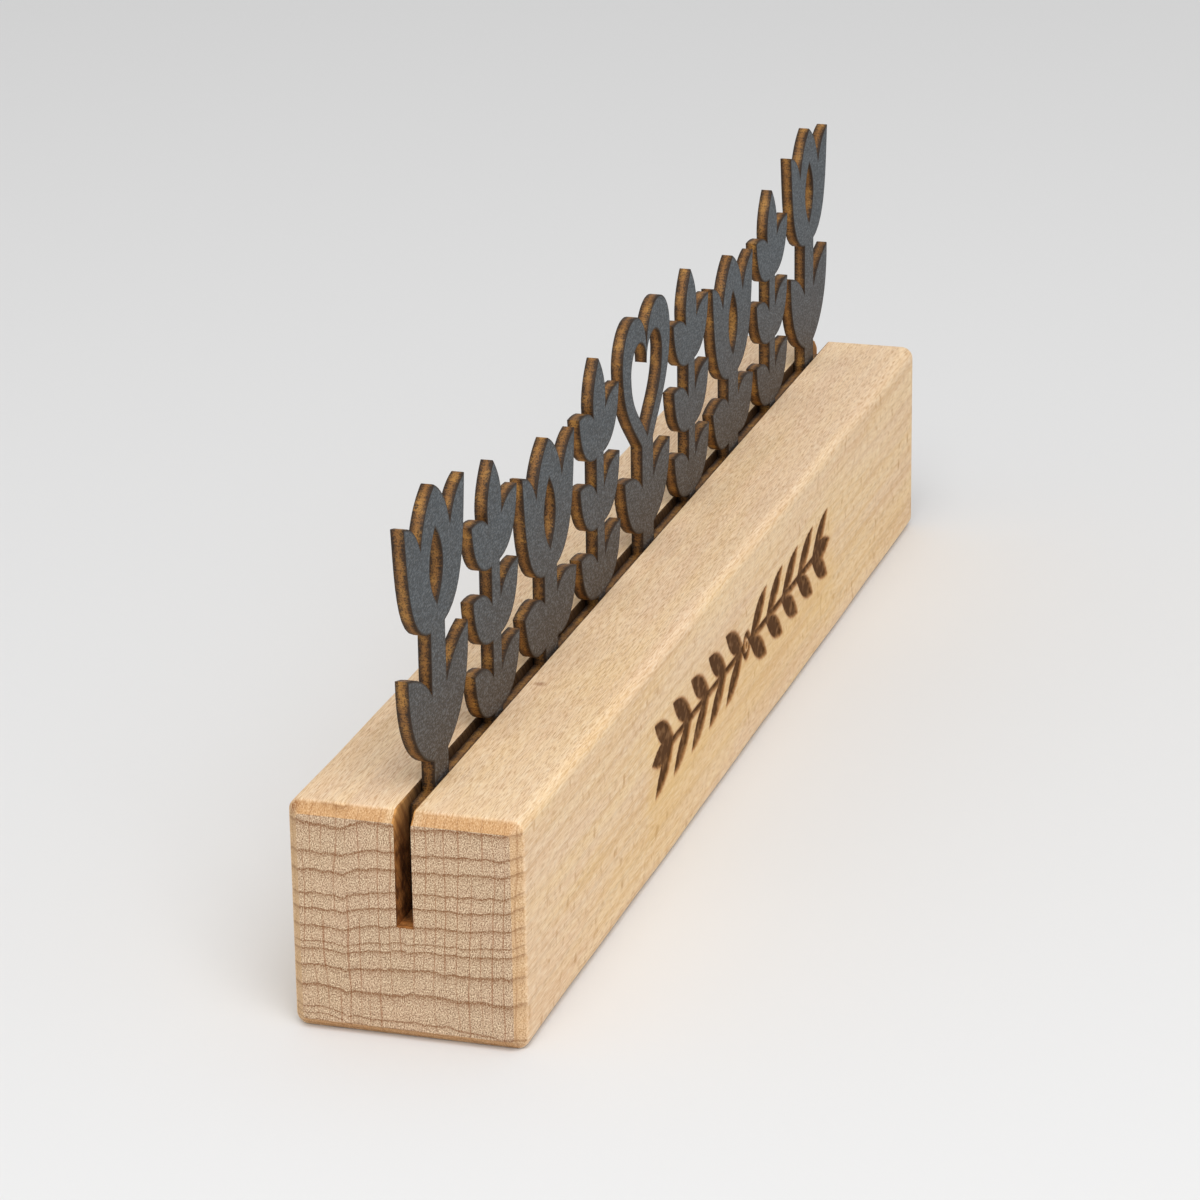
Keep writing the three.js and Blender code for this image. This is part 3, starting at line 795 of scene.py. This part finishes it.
class SIGN_OT_beech_block(bpy.types.Operator):
    """Makes the beech block: a rounded, slotted cross-section carried along X and drawn in towards each end
    for the chamfer, with the garland pressed into the front."""

    bl_idname = "table_sign.beech_block"
    bl_label = "Beech block"
    bl_options = {"REGISTER", "UNDO"}

    def execute(self, context):
        block, garland = context.scene.sign_block, context.scene.sign_garland
        slot_half, slot_floor = slot_of(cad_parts["beech_block"])
        names, facing, places, bends, offsets = block_profile(slot_half, slot_floor, garland)
        x = block_stations(block.end_chamfer, garland)
        inset = chamfer_inset(x, block.end_chamfer)
        y, z = block_points(x, inset, block, places, bends, offsets)

        distance = garland_distance(x[:, None], z, garland)
        distance = np.where(names == "front", distance, garland.height)
        y = y + garland.depth * smoothstep(PRESS_OUTSIDE, -PRESS_INSIDE, distance)
        burn = smoothstep(BURN_OUTSIDE, -BURN_INSIDE, distance)
        below = garland_distance(x[:, None], z + STAIN_DROP, garland)
        stain = np.where(names == "front", smoothstep(STAIN_REACH, 0, below), 0)
        flat_sawn = np.broadcast_to(facing, y.shape)
        crossing = smoothstep(0, block.end_chamfer * CROSS_CUT_SHARE, inset)
        cross_cut = np.broadcast_to(crossing[:, None], y.shape)

        vertices = np.stack((np.broadcast_to(x[:, None], y.shape), y, z), -1).reshape(-1, 3)
        stations, around = y.shape
        following = np.roll(np.arange(around), -1)
        ends = end_faces(names, places[:, 1], slot_floor)
        far = (stations - 1) * around
        faces = strip_quads(stations, following).tolist()
        faces += [face[::-1] for face in ends]
        faces += [[far + corner for corner in face] for face in ends]

        sawn = (names == "slot") & (names[following] == "slot")
        sides = np.tile(np.where(sawn, SAWN, SANDED), stations - 1)
        indices = sides.tolist() + [END_GRAIN] * (2 * len(ends))
        materials = (sanded_beech(block, garland), beech_end_grain(block), sawn_beech(block))
        attributes = {"burn": burn.ravel(), "stain": stain.ravel(),
                      "flat_sawn": flat_sawn.ravel(), "cross_cut": cross_cut.ravel()}
        piece = new_piece("block_of_beech", vertices, faces, materials, indices, attributes)
        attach(piece, "block")
        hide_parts("beech_block")
        return {"FINISHED"}


MERGE_DECIMALS = 3  # of a millimetre, to which the solid's points are merged


def panel_outline(node):
    """The front face of the panel's solid: its points (x, z), its triangles, and for each point the next one
    along the outline. A directed edge of the triangles is on the outline where no triangle runs along it
    backwards."""
    corners = np.empty(len(node.data.loops), np.int32)
    node.data.loops.foreach_get("vertex_index", corners)
    rounded = np.round(points_of(node) / MM, MERGE_DECIMALS)
    merged, index = np.unique(rounded, axis=0, return_inverse=True)
    triangles = index.ravel()[corners].reshape(-1, 3)
    front = triangles[(np.abs(merged[triangles][..., 1] * MM - PANEL_LOW[1]) < CLOSE).all(1)]
    used, front = np.unique(front, return_inverse=True)
    front = front.reshape(-1, 3)
    edges = np.concatenate([front[:, pair] for pair in ([0, 1], [1, 2], [2, 0])])
    code = edges @ (len(used), 1)
    rim = edges[~np.isin(code, edges @ (1, len(used)))]
    if len(rim) != len(used) or len(np.unique(rim[:, 0])) != len(used):
        raise RuntimeError("the panel's outline touches itself")
    following = np.empty(len(used), np.int64)
    following[rim[:, 0]] = rim[:, 1]
    return merged[used][:, (0, 2)] * MM, front, following


BORDER_SHARE = 0.8  # of the room up to the middle of the board that its border may take
SHARPEST = -0.6  # cosine of the turn past which a tip's border isn't drawn out any longer
AHEAD = 1e-4 * MM  # a point that lies less than this along the way in isn't ahead


def inward(outline, following, border):
    """For each point of an outline, the way into the board, scaled so that a border moved along it keeps an
    even width: the sum of both edges' left normals over one plus their cosine. It is shortened where the
    border would run past the middle of a thin tip. The room there is the radius of the smallest circle that
    touches the outline at the point and passes through another: half their squared distance over the part of
    it along the way in. A corner takes the lesser share of its two neighbours."""
    step = outline[following] - outline
    left = np.stack((-step[:, 1], step[:, 0]), 1) / np.linalg.norm(step, axis=1)[:, None]
    before = np.empty_like(left)
    before[following] = left
    cosine = (left * before).sum(1)
    into = left + before
    apart = outline[None] - outline[:, None]
    along = np.einsum("pqk,pk->pq", apart, into / np.linalg.norm(into, axis=1)[:, None])
    ahead = along > AHEAD
    room = np.where(ahead, (apart ** 2).sum(2) / (2 * np.where(ahead, along, 1)), np.inf).min(1)
    share = np.minimum(1, BORDER_SHARE * room / border)
    last = np.empty_like(share)
    last[following] = share
    share = np.where(cosine < np.cos(SHARP_ANGLE), np.minimum(share[following], last), share)
    return into * (share / (1 + np.maximum(cosine, SHARPEST)))[:, None]


ARRIS_POINTS = 4  # on each rounded arris
LACQUERED, CUT = range(2)  # numbers of the panel's materials


class SIGN_OT_cutout_panel(bpy.types.Operator):
    """Makes the cut-out panel: a rim with rounded arrises carried along the outline of its solid, closed by a
    front and a back face."""

    bl_idname = "table_sign.cutout_panel"
    bl_label = "Cut-out panel"
    bl_options = {"REGISTER", "UNDO"}

    def execute(self, context):
        panel = context.scene.sign_panel
        outline, triangles, following = panel_outline(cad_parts["cutout_panel"])
        into = inward(outline, following, panel.scorch)
        turn = np.linspace(0, np.pi / 2, ARRIS_POINTS)
        inset = np.concatenate(([panel.scorch], panel.arris * (1 - np.sin(turn))))
        depth = np.concatenate(([0.0], panel.arris * (1 - np.cos(turn))))
        inset = np.concatenate((inset, inset[::-1]))
        y = np.concatenate((PANEL_LOW[1] + depth, PANEL_HIGH[1] - depth[::-1]))
        browned = (inset < panel.scorch / 2).astype(float)

        count, rows = len(outline), len(inset)
        plan = outline[None] + inset[:, None, None] * into[None]
        across = np.broadcast_to(y[:, None], (rows, count))
        vertices = np.stack((plan[..., 0], across, plan[..., 1]), -1).reshape(-1, 3)
        quads = strip_quads(rows, following)[:, OTHER_WAY]
        back = triangles[:, ::-1] + (rows - 1) * count
        faces = quads.tolist() + triangles.tolist() + back.tolist()

        row = np.arange(rows - 1)
        on_edge = (row > 0) & (row < rows - 2)
        rim = np.repeat(np.where(on_edge, CUT, LACQUERED), count)
        indices = rim.tolist() + [LACQUERED] * (2 * len(triangles))
        materials = (matt_lacquer(panel), laser_cut_edge(panel))
        attributes = {"scorch": np.repeat(browned, count)}
        piece = new_piece("panel_of_fibreboard", vertices, faces, materials, indices, attributes)
        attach(piece, "panel")
        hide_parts("cutout_panel")
        return {"FINISHED"}


FLOOR_SIZE = 12.0  # metres
SENSOR = 36.0  # mm
WORLD_LIGHT = 0.62  # strength of the even light from all round
KEY_PLACE = (-0.98, -0.45, 1.35)  # metres, of the square soft box that is the one lamp
KEY_SIDE = 1.3  # metres
KEY_WATTS = 20.5


class SIGN_OT_stage(bpy.types.Operator):
    """Makes the floor, the light and the camera."""

    bl_idname = "table_sign.stage"
    bl_label = "Stage"
    bl_options = {"REGISTER", "UNDO"}

    def execute(self, context):
        scene, stage = context.scene, context.scene.sign_stage
        half = FLOOR_SIZE / 2
        corners = np.array(((-half, -half, 0), (half, -half, 0), (half, half, 0), (-half, half, 0)))
        floor = new_piece("floor", corners, [[0, 1, 2, 3]], (plain_floor(stage),), [0], {})

        light = bpy.data.lights.new("key_light", "AREA")
        light.size = KEY_SIDE
        light.energy = KEY_WATTS
        lamp = bpy.data.objects.new("key_light", light)
        lamp.location = KEY_PLACE
        aim = lamp.location - Vector((BLOCK_LOW + BLOCK_HIGH) / 2)
        lamp.rotation_euler = aim.to_track_quat("Z", "Y").to_euler()
        scene.collection.objects.link(lamp)

        world = bpy.data.worlds.new("studio")
        world.use_nodes = True
        world.node_tree.nodes["Background"].inputs["Color"].default_value = (1.0, 1.0, 1.0, 1.0)
        world.node_tree.nodes["Background"].inputs["Strength"].default_value = WORLD_LIGHT
        scene.world = world
        scene.view_settings.view_transform = "Standard"

        camera = bpy.data.cameras.new("camera")
        camera.sensor_width = SENSOR
        camera.lens = stage.lens
        view = bpy.data.objects.new("camera", camera)
        view.location = stage.camera_place
        view.rotation_euler = stage.camera_turn
        scene.collection.objects.link(view)
        scene.camera = view
        return {"FINISHED"}


class SIGN_PT_sidebar(bpy.types.Panel):
    """Lists the operators and the settings in the 3D view's sidebar."""

    bl_idname = "SIGN_PT_sidebar"
    bl_label = "Table sign"
    bl_space_type = "VIEW_3D"
    bl_region_type = "UI"
    bl_category = "Table sign"

    def draw(self, context):
        for operator in OPERATORS:
            self.layout.operator(operator.bl_idname)
        for name in SETTINGS:
            settings = getattr(context.scene, name)
            for prop in settings.__annotations__:
                self.layout.prop(settings, prop)


SETTINGS = {
    "sign_block": BlockSettings,
    "sign_garland": GarlandSettings,
    "sign_panel": PanelSettings,
    "sign_stage": StageSettings,
}
OPERATORS = (SIGN_OT_beech_block, SIGN_OT_cutout_panel, SIGN_OT_stage)


def register():
    """Registers the classes and puts the settings on the scene."""
    for cls in (*SETTINGS.values(), *OPERATORS, SIGN_PT_sidebar):
        bpy.utils.register_class(cls)
    for name, cls in SETTINGS.items():
        setattr(bpy.types.Scene, name, bpy.props.PointerProperty(type=cls))


def unregister():
    """Takes the settings off the scene and unregisters the classes."""
    for name in SETTINGS:
        delattr(bpy.types.Scene, name)
    for cls in (SIGN_PT_sidebar, *reversed(OPERATORS), *reversed(SETTINGS.values())):
        bpy.utils.unregister_class(cls)


def main():
    """Registers the add-on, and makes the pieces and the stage."""
    register()
    bpy.ops.table_sign.beech_block()
    bpy.ops.table_sign.cutout_panel()
    bpy.ops.table_sign.stage()


if __name__ == "__main__":
    main()
